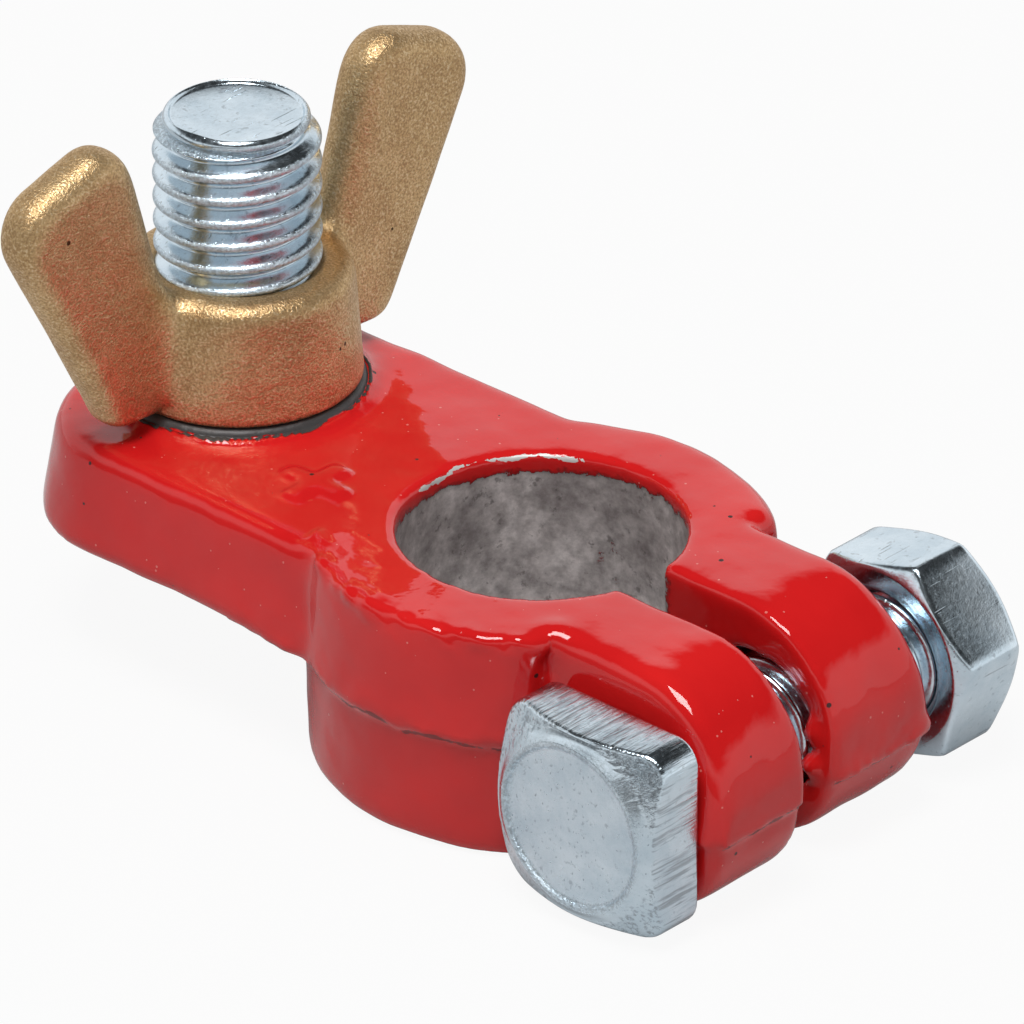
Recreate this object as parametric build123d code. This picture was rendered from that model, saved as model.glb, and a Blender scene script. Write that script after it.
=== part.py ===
from build123d import *
import math
import os

# Battery terminal clamp, in millimetres.
# +Z is the axis of the battery post, +X runs from the stud towards the ears, and +Y runs from the
# head of the clamping bolt towards its nut. The origin is on the post axis, in the underside plane.

# --- casting -----------------------------------------------------------------------------------
BODY_HEIGHT = 14.6          # underside of the collar to the top face
PARTING_HEIGHT = 7.5        # mould parting plane, also the underside of the arm
PARTING_STEP = 0.35         # the lower mould half is this much smaller all round
RING_RADIUS = 14.2          # at the parting plane
RING_DRAFT = 4.0            # degrees
COLLAR_DRAFT = 2.0          # degrees, everything under the parting plane
ARM_HALF_WIDTH = 12.3       # at the parting plane
ARM_OVERHANG = 9.2          # stud axis to the free end of the arm
ARM_CORNER_RADIUS = 8.6
ARM_DRAFT = 9.0             # degrees
EAR_HALF_SPAN = 10.3        # post axis to the outer face of an ear, at its parting plane
EAR_REACH = 22.8            # post axis to the rounded end of the ear beside the bolt's head
FAR_EAR_SHORTER = 1.1       # the ear beside its nut, than the one beside its head
EAR_PARTING = 5.8           # the parting plane drops to this at the one ear
FAR_EAR_PARTING = 5.0       # and to this at the other
EAR_DRAFT = 9.0             # degrees
EAR_TOP_RADIUS = 7.3        # seen from the side
EAR_FOOT_RADIUS = 5.7
SLOT_WIDTH = 3.45
SLOT_SIDE = -0.6            # middle of the slot, off the post axis towards the bolt's head
TOP_ROUNDING = 1.3
BOTTOM_ROUNDING = 0.8
SLOT_ROUNDING = 0.45        # edges of the ears towards the slot
CREASE_ROUNDING = 1.6

# --- post socket -------------------------------------------------------------------------------
POST_RADIUS = 8.5           # narrow end of the socket, which a 17.5 mm positive post spreads a little
GRIP_LENGTH = 2.0           # straight stretch of the socket under the top face
POST_TAPER = 1.0 / 9.0      # on the diameter

# --- terminal stud -----------------------------------------------------------------------------
STUD_DISTANCE = 24.8        # post axis to stud axis, along the arm
STUD_SIDE = 0.5             # the stud was cast in this far off the arm's centre line
STUD_RADIUS = 5.0           # M10
STUD_PITCH = 1.5
STUD_RISE = 18.2            # above the top face of the arm
STUD_CHAMFER = 1.05
STUD_SHANK_RADIUS = 4.5     # plain shank inside the casting
STUD_HEAD_ACROSS = 15.0
STUD_HEAD_HEIGHT = 4.0
STUD_HEAD_TURN = 30.0       # degrees, which leaves a flat towards the thin end of the arm
PAD_RADIUS = 7.6
PAD_HEIGHT = 0.9
THREAD_CLEARANCE = 0.05     # radial, threads drawn as plain cylinders in their nuts

# --- polarity mark -----------------------------------------------------------------------------
MARK_LENGTH = 4.8
MARK_BAR = 1.4
MARK_HEIGHT = 0.35
MARK_X = -13.0
MARK_Y = -5.4

# --- wing nut ----------------------------------------------------------------------------------
HUB_HEIGHT = 7.6
HUB_FOOT_RADIUS = 7.4
HUB_TOP_RADIUS = 6.9
HUB_TOP_ROUNDING = 1.1
HUB_FOOT_ROUNDING = 0.3
HUB_COUNTERSINK = 0.1       # wider than the thread's crests, at the top of the hub
WING_THICKNESS = 3.4
WING_ROUNDING = 1.45
WING_TURN = 4.2             # degrees from the Y axis
WING_TIP_REACH = 18.9       # stud axis to the outer corner
WING_TIP_HEIGHT = 16.2      # outer corner above the foot of the nut
WING_PEAK_REACH = 9.6
WING_PEAK_HEIGHT = 19.5
WING_FOOT_REACH = 10.8
WING_FOOT_HEIGHT = 0.1
WING_ROOT_HEIGHT = 4.0      # where the inner edge starts, inside the hub
WING_LEAN = 0.30            # outward per unit of height, along the inner edge
WING_BITE = 1.6             # how far a wing's foot runs into the hub
WING_TIP_CORNER = 3.2
WING_PEAK_CORNER = 2.8
WING_FOOT_CORNER = 1.9

# --- clamping bolt and nut ---------------------------------------------------------------------
BOLT_SETBACK = 7.2          # rounded ends of the ears to the axis of the bolt and of its hole
HOLE_HEIGHT = 7.0           # underside to the axis of the bolt's hole
BOLT_RADIUS = 4.0           # M8, pitch 1.25
BOLT_LENGTH = 30.0          # under the head
BOLT_END_CHAMFER = 0.8
BOLT_HOLE_CLEARANCE = 0.5   # radial
BOLT_DROP = 0.3             # the loose bolt hangs this far under the hole's axis
HEAD_ACROSS = 12.0
HEAD_THICKNESS = 4.4
HEAD_CORNER_RADIUS = 1.6
HEAD_FACE_RADIUS = 5.2
HEAD_SIDE_CLEARANCE = 0.6   # head flat to the shoulder that keeps it from turning
CHAMFER_ANGLE = 30.0        # degrees, on the head and on the nut
NUT_ACROSS = 12.0
NUT_THICKNESS = 5.4
NUT_FACE_RADIUS = 5.75
NUT_COUNTERSINK = 0.5
NUT_GAP = 1.7               # nut to the ear, as left loose
NUT_TURN = 11.0             # degrees, from a corner pointing along +X towards +Z

STUD_X = -STUD_DISTANCE
ARM_END_X = STUD_X - ARM_OVERHANG
STUD_PITCH_RADIUS = STUD_RADIUS - STUD_PITCH * 3 * math.sqrt(3) / 16    # of a 60 degree thread
PAD_TOP = BODY_HEIGHT + PAD_HEIGHT
STUD_TOP = BODY_HEIGHT + STUD_RISE
BOLT_X = EAR_REACH - BOLT_SETBACK
FAR_EAR_REACH = EAR_REACH - FAR_EAR_SHORTER
BOLT_Z = HOLE_HEIGHT - BOLT_DROP
NUT_Y = EAR_HALF_SPAN + NUT_GAP
SHOULDER_X = BOLT_X - HEAD_ACROSS / 2 - HEAD_SIDE_CLEARANCE
EARS = ((EAR_REACH, EAR_PARTING, -1), (FAR_EAR_REACH, FAR_EAR_PARTING, 1))      # each with its side of Y
SLOT_FACES = (SLOT_SIDE - SLOT_WIDTH / 2, SLOT_SIDE + SLOT_WIDTH / 2)
BEYOND = BODY_HEIGHT        # how far cutters run past the casting
TOLERANCE = 0.01            # for telling at which height an edge lies


def slab(x0, x1, y0, y1):
    """A rectangle in the XY plane between two corners."""
    return Pos((x0 + x1) / 2, (y0 + y1) / 2) * Rectangle(abs(x1 - x0), abs(y1 - y0))


def raised(plan, parting, draft):
    """A plan at its parting plane, drawn up to the top face with its walls leaning inwards."""
    return Pos(0, 0, parting) * extrude(plan, BODY_HEIGHT - parting, taper=draft)


def sunk(plan, parting):
    """A plan at its parting plane, drawn down to the underside."""
    return Pos(0, 0, parting) * extrude(plan, -parting, taper=COLLAR_DRAFT)


def ear_profile(reach, inset, side):
    """Side view of an ear with its rounded end, run out from the middle to its own side."""
    outline = slab(0, reach - inset, 0, BODY_HEIGHT)
    for index, radius in ((0, EAR_FOOT_RADIUS), (-1, EAR_TOP_RADIUS)):
        end = outline.vertices().group_by(Axis.X)[-1].sort_by(Axis.Y)
        outline = fillet(end[index], radius)
    return extrude(Plane.XZ * outline, -side * (BEYOND + EAR_HALF_SPAN))


def up_to_shoulder(ring):
    """The ring is cut square beside the ears, which leaves a shoulder for the bolt head."""
    keep = slab(-BEYOND - RING_RADIUS, SHOULDER_X, -BEYOND - RING_RADIUS, BEYOND + RING_RADIUS)
    return ring & extrude(keep, BEYOND + BODY_HEIGHT)


def arm_plan():
    arm = slab(ARM_END_X, 0, -ARM_HALF_WIDTH, ARM_HALF_WIDTH)
    return fillet(arm.vertices().group_by(Axis.X)[0], ARM_CORNER_RADIUS)


def ears_plan(inset):
    half_span = EAR_HALF_SPAN - inset
    return slab(0, EAR_REACH + BEYOND, -half_span, half_span)


def slot():
    cut = slab(0, EAR_REACH + BEYOND, SLOT_FACES[0], SLOT_FACES[1])
    return Pos(0, 0, BODY_HEIGHT / 2) * extrude(cut, BEYOND, both=True)


def lies_at(edge, height):
    return abs(edge.center().Z - height) < TOLERANCE


def edges_to_round(half, height):
    """The rim of a mould half at its flat face, and the edges of its rounded ear ends."""
    rim = [e for e in half.edges() if lies_at(e, height)]
    ends = [e for e in half.edges().filter_by(Axis.Y, reverse=True)
            if e.center().X > FAR_EAR_REACH - EAR_TOP_RADIUS
            and not any(lies_at(e, plane) for plane in (height, EAR_PARTING, FAR_EAR_PARTING))]
    return rim + ends


def rounded_and_slotted(half, height, rounding):
    """A mould half with its outer edges rounded, then split by the slot, whose edges are crisper.

    The step between the two ears on Y = 0 is left as it is, because the slot removes it.
    """
    outer = [e for e in edges_to_round(half, height)
             if e.center().X < 0 or abs(e.center().Y) > TOLERANCE]
    half = fillet(outer, rounding) - slot()
    beside_slot = [e for e in edges_to_round(half, height)
                   if min(abs(e.center().Y - face) for face in SLOT_FACES) < TOLERANCE]
    return fillet(beside_slot, SLOT_ROUNDING)


def socket():
    """The tapered hole for the battery post, with a short straight stretch at its narrow end."""
    grip_foot = BODY_HEIGHT - GRIP_LENGTH
    mouth_radius = POST_RADIUS + grip_foot * POST_TAPER / 2
    profile = Plane.XZ * Polyline(
        (0, 0), (mouth_radius, 0), (POST_RADIUS, grip_foot), (POST_RADIUS, BODY_HEIGHT + BEYOND),
        (0, BODY_HEIGHT + BEYOND), close=True)
    return revolve(make_face(profile), Axis.Z)


def bolt_cylinder(height, radius, y0, y1):
    """A round bar along Y, over the bolt's place, between two Y positions."""
    return Plane(origin=(BOLT_X, y0, height), z_dir=(0, 1, 0)) * extrude(Circle(radius), y1 - y0)


def stud_blank(head_foot):
    """The stretch of the stud that the casting grips: hexagon head and plain shank."""
    head_radius = STUD_HEAD_ACROSS / 2
    hexagon = RegularPolygon(head_radius, 6, major_radius=False, rotation=STUD_HEAD_TURN)
    head = extrude(hexagon, STUD_HEAD_HEIGHT)
    shank = extrude(Circle(STUD_SHANK_RADIUS), PAD_TOP - head_foot)
    return Pos(STUD_X, STUD_SIDE, head_foot) * (head + shank)


def polarity_mark():
    """A raised plus sign on top of the arm."""
    bars = Rectangle(MARK_LENGTH, MARK_BAR) + Rectangle(MARK_BAR, MARK_LENGTH)
    return Pos(MARK_X, MARK_Y, BODY_HEIGHT) * extrude(bars, MARK_HEIGHT)


def upper_half():
    """Arm, ring and ears above the parting plane."""
    arm = raised(arm_plan(), PARTING_HEIGHT, ARM_DRAFT)
    arm_and_ring = arm + up_to_shoulder(raised(Circle(RING_RADIUS), PARTING_HEIGHT, RING_DRAFT))
    creases = [e for e in arm_and_ring.edges()
               if -RING_RADIUS < e.center().X < 0 and abs(e.center().Y) > POST_RADIUS
               and not lies_at(e, PARTING_HEIGHT) and not lies_at(e, BODY_HEIGHT)]
    arm_and_ring = fillet(creases, CREASE_ROUNDING)
    half = arm_and_ring
    for reach, parting, side in EARS:
        half += raised(ears_plan(0), parting, EAR_DRAFT) & ear_profile(reach, 0, side)
    return rounded_and_slotted(half, BODY_HEIGHT, TOP_ROUNDING)


def lower_half():
    """Collar and the lower halves of the ears."""
    half = up_to_shoulder(sunk(Circle(RING_RADIUS - PARTING_STEP), PARTING_HEIGHT))
    for reach, parting, side in EARS:
        half += sunk(ears_plan(PARTING_STEP), parting) & ear_profile(reach, PARTING_STEP, side)
    return rounded_and_slotted(half, 0, BOTTOM_ROUNDING)


def make_clamp_body():
    """The lead casting: its two mould halves with the pad and the mark, then the holes."""
    pad = Pos(STUD_X, STUD_SIDE, BODY_HEIGHT) * extrude(Circle(PAD_RADIUS), PAD_HEIGHT)
    body = upper_half() + lower_half() + pad + polarity_mark()
    hole = bolt_cylinder(HOLE_HEIGHT, BOLT_RADIUS + BOLT_HOLE_CLEARANCE, -RING_RADIUS, RING_RADIUS)
    return body - socket() - hole - stud_blank(PARTING_HEIGHT)


def make_stud():
    """Cast-in blank, then the threaded length drawn as a plain bar.

    It is drawn at the crests where the thread is free, and at the pitch radius inside the wing nut.
    """
    end_foot = STUD_TOP - STUD_CHAMFER
    hub_top = PAD_TOP + HUB_HEIGHT
    in_nut = Pos(0, 0, PAD_TOP) * extrude(Circle(STUD_PITCH_RADIUS), HUB_HEIGHT)
    exposed = Pos(0, 0, hub_top) * extrude(Circle(STUD_RADIUS), end_foot - hub_top)
    chamfered_end = Pos(0, 0, end_foot + STUD_CHAMFER / 2) * Cone(
        STUD_RADIUS, STUD_RADIUS - STUD_CHAMFER, STUD_CHAMFER)
    return stud_blank(PARTING_HEIGHT) + Pos(STUD_X, STUD_SIDE) * (in_nut + exposed + chamfered_end)


def wing_outline():
    """One wing of the wing nut, in its own plane: X outwards from the stud axis, Y upwards."""
    root_reach = WING_PEAK_REACH - (WING_PEAK_HEIGHT - WING_ROOT_HEIGHT) * WING_LEAN
    foot_inner = (HUB_TOP_RADIUS - WING_BITE, WING_FOOT_HEIGHT)
    outline = make_face(Polyline(
        foot_inner, (WING_FOOT_REACH, WING_FOOT_HEIGHT), (WING_TIP_REACH, WING_TIP_HEIGHT),
        (WING_PEAK_REACH, WING_PEAK_HEIGHT), (root_reach, WING_ROOT_HEIGHT), close=True))
    corners = [(WING_FOOT_REACH, WING_FOOT_HEIGHT, WING_FOOT_CORNER),
               (WING_TIP_REACH, WING_TIP_HEIGHT, WING_TIP_CORNER),
               (WING_PEAK_REACH, WING_PEAK_HEIGHT, WING_PEAK_CORNER)]
    for reach, height, radius in corners:
        nearest = outline.vertices().sort_by_distance((reach, height, 0))[0]
        outline = fillet(nearest, radius)
    return outline


def make_wing_nut():
    """Turned-looking cast hub with two soft-edged wings that lean outwards."""
    hub = Pos(0, 0, HUB_HEIGHT / 2) * Cone(HUB_FOOT_RADIUS, HUB_TOP_RADIUS, HUB_HEIGHT)
    rims = hub.edges().filter_by(GeomType.CIRCLE).sort_by(Axis.Z)
    hub = fillet(rims[-1], HUB_TOP_ROUNDING)
    rims = hub.edges().filter_by(GeomType.CIRCLE).sort_by(Axis.Z)
    hub = fillet(rims[0], HUB_FOOT_ROUNDING)
    blade = extrude(Plane.YZ * wing_outline(), WING_THICKNESS / 2, both=True)
    blade = fillet(blade.edges(), WING_ROUNDING)
    nut = hub + blade + mirror(blade, Plane.XZ)
    bore_radius = STUD_PITCH_RADIUS + THREAD_CLEARANCE
    bore = extrude(Circle(bore_radius), HUB_HEIGHT * 2, both=True)
    countersink_radius = STUD_RADIUS + HUB_COUNTERSINK
    depth = countersink_radius - bore_radius
    bore += Pos(0, 0, HUB_HEIGHT - depth / 2) * Cone(bore_radius, countersink_radius, depth)
    return Pos(STUD_X, STUD_SIDE, PAD_TOP) * Rot(0, 0, -WING_TURN) * (nut - bore)


def chamfered_prism(sketch, thickness, face_radius, corner_radius, both_faces):
    """A head or nut blank standing on XY, its corners cut by cones at the top, or at both faces."""
    drop = (corner_radius - face_radius) * math.tan(math.radians(CHAMFER_ANGLE))
    foot = [(face_radius, 0), (corner_radius, drop)] if both_faces else [(corner_radius, 0)]
    profile = Plane.XZ * make_face(Polyline(
        (0, 0), *foot, (corner_radius, thickness - drop), (face_radius, thickness), (0, thickness),
        close=True))
    return extrude(sketch, thickness) & revolve(profile, Axis.Z)


def make_clamp_bolt():
    """Square head, whose flat lies beside the casting's shoulder, and a shank through both ears."""
    corner = (HEAD_ACROSS / 2 - HEAD_CORNER_RADIUS) * math.sqrt(2) + HEAD_CORNER_RADIUS
    square = RectangleRounded(HEAD_ACROSS, HEAD_ACROSS, HEAD_CORNER_RADIUS)
    head = chamfered_prism(square, HEAD_THICKNESS, HEAD_FACE_RADIUS, corner, False)
    head = Plane(origin=(BOLT_X, -EAR_HALF_SPAN, BOLT_Z), x_dir=(1, 0, 0), z_dir=(0, -1, 0)) * head
    end_y = BOLT_LENGTH - EAR_HALF_SPAN
    shank = bolt_cylinder(BOLT_Z, BOLT_RADIUS, -EAR_HALF_SPAN, end_y)
    shank = chamfer(shank.edges().sort_by(Axis.Y)[-1], BOLT_END_CHAMFER)
    return head + shank


def make_hex_nut():
    corner = NUT_ACROSS / math.sqrt(3)
    hexagon = RegularPolygon(NUT_ACROSS / 2, 6, major_radius=False)
    bore_radius = BOLT_RADIUS + THREAD_CLEARANCE
    nut = chamfered_prism(hexagon, NUT_THICKNESS, NUT_FACE_RADIUS, corner, True)
    nut = nut - extrude(Circle(bore_radius), NUT_THICKNESS)
    nut = chamfer(nut.edges().filter_by(GeomType.CIRCLE).filter_by(
        lambda e: abs(e.radius - bore_radius) < THREAD_CLEARANCE / 2), NUT_COUNTERSINK)
    seat = Plane(origin=(BOLT_X, NUT_Y, BOLT_Z), x_dir=(1, 0, 0), z_dir=(0, 1, 0))
    return seat * Rot(0, 0, -NUT_TURN) * nut


os.makedirs("parts", exist_ok=True)
pieces = {
    "clamp_body": make_clamp_body,
    "stud": make_stud,
    "wing_nut": make_wing_nut,
    "clamp_bolt": make_clamp_bolt,
    "hex_nut": make_hex_nut,
}
for name, make_piece in pieces.items():
    export_step(make_piece(), "parts/" + name + ".step")
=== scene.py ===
import math

import bpy
import numpy as np
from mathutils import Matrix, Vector


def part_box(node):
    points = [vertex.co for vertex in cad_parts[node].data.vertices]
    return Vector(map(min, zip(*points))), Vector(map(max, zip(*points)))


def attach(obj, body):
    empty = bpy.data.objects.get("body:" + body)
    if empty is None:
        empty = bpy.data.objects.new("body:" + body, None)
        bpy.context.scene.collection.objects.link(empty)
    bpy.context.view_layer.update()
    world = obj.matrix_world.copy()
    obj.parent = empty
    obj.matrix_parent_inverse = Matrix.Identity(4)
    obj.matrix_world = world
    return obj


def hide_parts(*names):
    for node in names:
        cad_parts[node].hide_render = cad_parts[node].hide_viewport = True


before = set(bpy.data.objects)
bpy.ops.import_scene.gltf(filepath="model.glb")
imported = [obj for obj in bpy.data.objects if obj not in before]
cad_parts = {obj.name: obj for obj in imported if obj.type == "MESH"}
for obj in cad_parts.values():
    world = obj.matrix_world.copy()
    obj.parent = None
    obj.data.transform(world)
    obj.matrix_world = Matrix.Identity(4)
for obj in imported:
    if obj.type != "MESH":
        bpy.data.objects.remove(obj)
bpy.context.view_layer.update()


# --- casting -----------------------------------------------------------------------------------
# Arm, split ring and two ears, gravity cast in lead in a two-part mould, which leaves a ragged
# parting line. It was dipped in red enamel, wiped out of the post socket and off the stud's pad.

MM = 0.001
CASTING_LOW, CASTING_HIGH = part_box("clamp_body")
STUD_LOW, STUD_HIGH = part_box("stud")
BOLT_LOW, BOLT_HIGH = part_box("clamp_bolt")

GRID_DEPTH = 8                      # of the remesh grid, which is 2 ** 8 cells wide
CASTING_CELLS = 0.76                # of the grid's width, which the casting takes up
PAD_TOP = CASTING_HIGH.z
PAD_RADIUS = 7.6 * MM
ARM_TOP = PAD_TOP - 0.9 * MM
RING_PARTING = STUD_LOW.z           # the arm's underside, where the stud's head is flush
EAR_PARTING = 5.8 * MM
FAR_EAR_PARTING = 5.0 * MM
PARTING_END_X = -14.0 * MM          # the arm's sides show no joint beyond it
SHOULDER_X = BOLT_LOW.x - 0.6 * MM  # of the casting, beside the bolt's head
EAR_FACE = 9.4 * MM                 # just inside the face under the bolt's head
RING_WALL_RADIUS = 10.5 * MM        # inside the ring's wall, which parts its bore from its outside
SOCKET_RADIUS = 8.5 * MM
SOCKET_GRIP = ARM_TOP - 2.0 * MM    # under this height the socket widens downwards
SOCKET_TAPER = 1 / 18               # on the radius
SLOT_MIDDLE = -0.6 * MM
SLOT_REACH = 2.1 * MM               # middle of the slot to just behind its faces
STUD_X = (STUD_LOW.x + STUD_HIGH.x) / 2
STUD_Y = (STUD_LOW.y + STUD_HIGH.y) / 2
STUD_HEAD_REACH = 9.2 * MM          # round the stud's head, where the underside stays flat

EDGE_ROUNDS, ALL_OVER_ROUNDS = 24, 3
LEAST_SOFT, EVENLY_SOFT = 0.12, 0.5                      # shares of the way to the neighbours' mean
LOWER_EDGE_END_X = -11.0 * MM       # the arm's lower edge is rounded from its free end to here
LOWER_EDGE_BAND = 0.7 * MM
MARK_X, MARK_Y = -13.0 * MM, -5.4 * MM
MARK_REACH = 3.6 * MM

LIP_RISE, LIP_FALL = 0.3 * MM, 0.9 * MM                  # lengths up the wall over the joint
EAR_LIP, RING_LIP = 0.32 * MM, 0.20 * MM                 # how far it stands out
RIM_RADIUS, RIM_HEIGHT = 13.3 * MM, 14.2 * MM            # the ring's rounded top edge
RIDGE_END_X, RIDGE_SIDE_Y = -9.0 * MM, -4.0 * MM
RIDGE_LEAST, RIDGE_RAGGED = 0.10 * MM, 0.20 * MM         # its least height, and what varies on top
BLISTER_HEIGHT = 0.22 * MM
SHOULDER_KNOB = (8.9 * MM, -8.7 * MM, 14.2 * MM)
KNOB_HEIGHT, KNOB_WIDTH = 0.40 * MM, 1.0 * MM
SLOT_DROPS = ((19.9 * MM, 8.0 * MM), (20.1 * MM, 5.9 * MM))      # X and Z
DROP_HEIGHT, DROP_WIDTH, DROP_STRETCH = 0.80 * MM, 0.55 * MM, 0.7
# height, wavelength and seed of each size of lump
LUMPS = ((0.050 * MM, 7 * MM, 5), (0.030 * MM, 3.2 * MM, 6), (0.007 * MM, 1.5 * MM, 7))

CLIMB_RUN, CLIMB_HEIGHT, CLIMB_POWER = 1.8 * MM, 0.45 * MM, 2.2          # of the enamel round the pad
SOCKET_ENAMEL, SOCKET_ENAMEL_SWING = 0.95 * MM, 0.25 * MM                # how far down the bore it runs
SOCKET_ENAMEL_TURN = math.radians(150)                                   # where it runs furthest
PAD_ENAMEL = 0.52 * MM              # how far up the pad's side it reaches
WORN_TURN = math.radians(152)       # middle of the worn line, round the rim
WORN_HALF = 0.45                    # radians


def copy_of_node(name, piece_name):
    """A copy of a CAD node's mesh whose loose triangles are joined at their shared corners."""
    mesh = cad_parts[name].data.copy()
    mesh.materials.clear()
    piece = bpy.data.objects.new(piece_name, mesh)
    bpy.context.scene.collection.objects.link(piece)
    weld = piece.modifiers.new("weld", "WELD")
    weld.merge_threshold = MM / 1000
    return piece


def remeshed(piece, cells):
    """Even quads of one size all over the piece, with its sharp edges kept."""
    remesh = piece.modifiers.new("remesh", "REMESH")
    remesh.mode = "SHARP"
    remesh.octree_depth = GRID_DEPTH
    remesh.scale = cells
    remesh.use_remove_disconnected = False
    graph = bpy.context.evaluated_depsgraph_get()
    finished = bpy.data.meshes.new_from_object(piece.evaluated_get(graph))
    piece.modifiers.clear()
    piece.data = finished
    finished.polygons.foreach_set("use_smooth", np.ones(len(finished.polygons), bool))
    return piece


def corners_and_normals(mesh):
    """Every corner of a mesh and its normal, as two arrays of rows."""
    points = np.empty(len(mesh.vertices) * 3)
    normals = np.empty(len(mesh.vertices) * 3)
    mesh.vertices.foreach_get("co", points)
    mesh.vertex_normals.foreach_get("vector", normals)
    return points.reshape(-1, 3), normals.reshape(-1, 3)


def averaged(mesh, share, rounds):
    """Soften a mesh: each corner moves its share of the way to the mean of its neighbours.

    All corners move at once, and the move is made as many times over as there are rounds.
    """
    points, _ = corners_and_normals(mesh)
    ends = np.empty(len(mesh.edges) * 2, int)
    mesh.edges.foreach_get("vertices", ends)
    here, there = np.concatenate([ends.reshape(-1, 2), ends.reshape(-1, 2)[:, ::-1]]).T
    count = np.bincount(here)[:, None]
    share = np.reshape(share, (-1, 1)) / count
    for _ in range(rounds):
        total = np.stack([np.bincount(here, points[there, axis]) for axis in range(3)], -1)
        points = points + share * (total - count * points)
    mesh.vertices.foreach_set("co", points.ravel())
    mesh.update()


def ripples(points, wavelength, seed, count=14):
    """Smooth noise of about -1 to 1: plane waves of one wavelength in random directions, added."""
    random = np.random.default_rng(seed)
    ways = random.normal(size=(count, 3))
    ways *= 2 * math.pi / wavelength / np.linalg.norm(ways, axis=1, keepdims=True)
    waves = np.sin(points @ ways.T + random.uniform(0, 2 * math.pi, count))
    return waves.mean(axis=1) * math.sqrt(count / 2)


def bell(distance, width):
    """1 where the distance is nothing, falling off to nothing over about twice the width."""
    return np.exp(-(distance / width) ** 2)


def softness(points):
    """Shares for averaged: of the arm's lower edge, which is rounded most, and of the whole skin.

    The corners on the raised mark have the least in both, so that it stays crisp.
    """
    x, y, z = points.T
    lower_edge = bell(z - RING_PARTING, LOWER_EDGE_BAND) * (x < LOWER_EDGE_END_X)
    lower_edge *= np.hypot(x - STUD_X, y - STUD_Y) > STUD_HEAD_REACH
    on_mark = np.hypot(x - MARK_X, y - MARK_Y) < MARK_REACH
    return LEAST_SOFT + (1 - LEAST_SOFT) * lower_edge, np.where(on_mark, LEAST_SOFT, EVENLY_SOFT)


def under_head(points):
    """Whether each corner lies on the ear's outer face, which the bolt's head is beside."""
    return (points[:, 1] < -EAR_FACE) & (points[:, 0] > SHOULDER_X)


def outside_of_mould(points, normals):
    """Whether each corner lies on an upright face that shows the joint of the mould's two halves."""
    x, y, z = points.T
    in_slot = (x > 0) & (abs(y - SLOT_MIDDLE) < SLOT_REACH)
    upright = abs(normals[:, 2]) < 0.8
    outside = (np.hypot(x, y) > RING_WALL_RADIUS) & (x > PARTING_END_X)
    return outside & upright & ~in_slot & ~under_head(points)


def above_joint(points):
    """Height of each corner over the mould's joint, which steps down at the ears and wanders."""
    x, y, z = points.T
    joint = np.where(x < SHOULDER_X, RING_PARTING, np.where(y < 0, EAR_PARTING, FAR_EAR_PARTING))
    plan = points * (1, 1, 0)
    wander = 0.16 * MM * ripples(plan, 4 * MM, seed=3) + 0.08 * MM * ripples(plan, 1.3 * MM, seed=4)
    return z - joint - wander


def mould_lip(points, normals):
    """Height of the lip over the mould's joint: it rises at once and dies out a millimetre up."""
    over = above_joint(points)
    lip = np.clip(over / LIP_RISE, 0, 1) * np.exp(-np.clip(over, 0, None) / LIP_FALL)
    lip *= np.where(points[:, 0] > SHOULDER_X, EAR_LIP, RING_LIP)
    return lip * outside_of_mould(points, normals)


def rim_ridge(points, ragged):
    """Height of the ridge and the blisters along the top edge of the ring's near side."""
    x, y, z = points.T
    off_rim = np.hypot(x, y) - RIM_RADIUS
    near_side = (y < RIDGE_SIDE_Y) & (x > RIDGE_END_X) & (x < SHOULDER_X)
    ridge = bell(off_rim, 0.55 * MM) * bell(z - RIM_HEIGHT, 0.5 * MM)
    ridge *= RIDGE_LEAST + RIDGE_RAGGED * ragged
    blisters = bell(off_rim, 0.8 * MM) * bell(z - ARM_TOP, 1.2 * MM)
    blisters *= BLISTER_HEIGHT * np.clip(ripples(points, 1.6 * MM, seed=10) - 0.2, 0, None)
    return near_side * (ridge + blisters)


def slot_drops(points, normals):
    """Height of the drops of enamel, a little drawn out downwards, on the far ear's slot face."""
    x, y, z = points.T
    drops = np.zeros(len(points))
    for drop_x, drop_z in SLOT_DROPS:
        off_drop = np.hypot(x - drop_x, (z - drop_z) * DROP_STRETCH)
        drops += DROP_HEIGHT * bell(off_drop, DROP_WIDTH)
    return drops * ((normals[:, 1] < -0.5) & (y > 0) & (y < 2 * MM))


def cast_surface(points, normals):
    """How far each corner stands out, and nothing beside the bolt's head and on the pad.

    It is the lip, the ridge on the rim with a knob at its end, the drops and the lumps, added.
    """
    ragged = 0.8 + 0.5 * ripples(points, 1.9 * MM, seed=8) + 0.3 * ripples(points, 0.9 * MM, seed=9)
    ragged = np.clip(ragged, 0, 1.6)
    stands = ragged * mould_lip(points, normals) + rim_ridge(points, ragged) + slot_drops(points, normals)
    stands += KNOB_HEIGHT * bell(np.linalg.norm(points - SHOULDER_KNOB, axis=1), KNOB_WIDTH)
    for height, wavelength, seed in LUMPS:
        stands += height * ripples(points, wavelength, seed)
    on_pad = points[:, 2] > ARM_TOP + 0.5 * MM
    return np.where(under_head(points) | on_pad, 0, stands)


def paint_climb(points, normals):
    """Rise of the enamel on the arm's top towards the pad: a hollow slope, steepest at the pad."""
    x, y, z = points.T
    run = np.clip((np.hypot(x - STUD_X, y - STUD_Y) - PAD_RADIUS) / CLIMB_RUN, 0, 1)
    on_top = (normals[:, 2] > 0.6) & (abs(z - ARM_TOP) < 0.25 * MM) & (run > 0)
    return np.where(on_top, CLIMB_HEIGHT * (1 - run) ** CLIMB_POWER, 0)


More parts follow.
